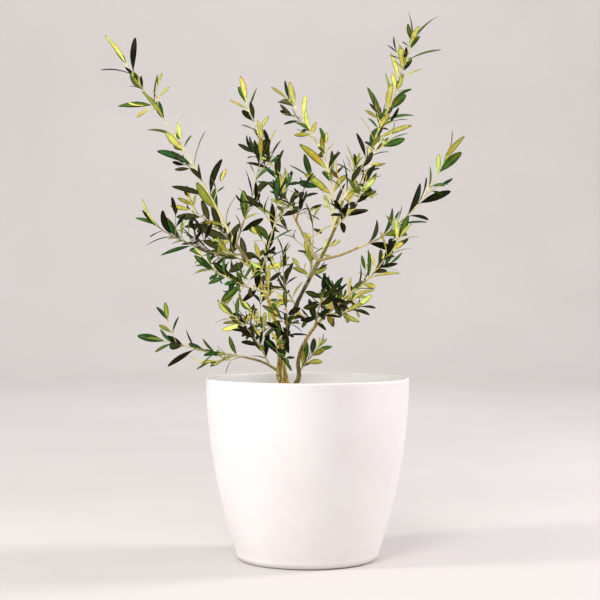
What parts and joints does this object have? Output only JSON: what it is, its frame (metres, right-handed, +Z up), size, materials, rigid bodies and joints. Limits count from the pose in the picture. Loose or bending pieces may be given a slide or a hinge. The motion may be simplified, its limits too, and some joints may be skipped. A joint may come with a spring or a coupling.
{
  "type": "potted olive tree",
  "caption": "Young olive shrub with slender open boughs and narrow paired leaves, growing in a round white planter that widens to its rim.",
  "frame": {"origin": "middle of the pot's flat underside", "axes": "+Z up, +X to the right as the plant is seen in the picture, whose side faces -Y"},
  "size_m": [0.3546, 0.2563, 0.5362],
  "materials": {
    "pot_plastic": "satin",
    "soil": "matte",
    "bark": "matte",
    "young_bark": "matte",
    "leaf_dark": "satin",
    "leaf_olive": "satin",
    "leaf_light": "satin"
  },
  "bodies": {
    "root": {"pot": "pot_plastic", "soil": "soil", "trunk": "bark", "bough_left": "bark", "bough_right": "bark", "bough_low_right": "bark", "bough_centre": "young_bark", "bough_side": "young_bark", "bough_bottom_left": "young_bark", "foliage_top_left": "leaf_light", "foliage_left_inner": "leaf_dark", "foliage_left_back": "leaf_dark", "foliage_left_front": "leaf_dark", "foliage_front_left_low": "leaf_light", "foliage_back_left_low": "leaf_dark", "foliage_left_foot": "leaf_light", "foliage_bottom_left": "leaf_light", "foliage_back_left_high": "leaf_dark", "foliage_back_left_mid": "leaf_dark", "foliage_front_left_mid": "leaf_olive", "foliage_left_sprig": "leaf_light", "foliage_top_right": "leaf_light", "foliage_top_middle": "leaf_light", "foliage_centre_high": "leaf_light", "foliage_centre_sprig": "leaf_dark", "foliage_side_right": "leaf_light", "foliage_back_centre_low": "leaf_dark", "foliage_front_centre": "leaf_dark", "foliage_back_centre": "leaf_dark", "foliage_front_right_high": "leaf_olive", "foliage_back_right_high": "leaf_light", "foliage_low_right_top": "leaf_olive", "foliage_low_right_back": "leaf_dark", "foliage_low_right_in": "leaf_light", "foliage_front_right": "leaf_dark", "foliage_back_right": "leaf_dark", "foliage_right_foot": "leaf_light"}
  },
  "joints": []
}
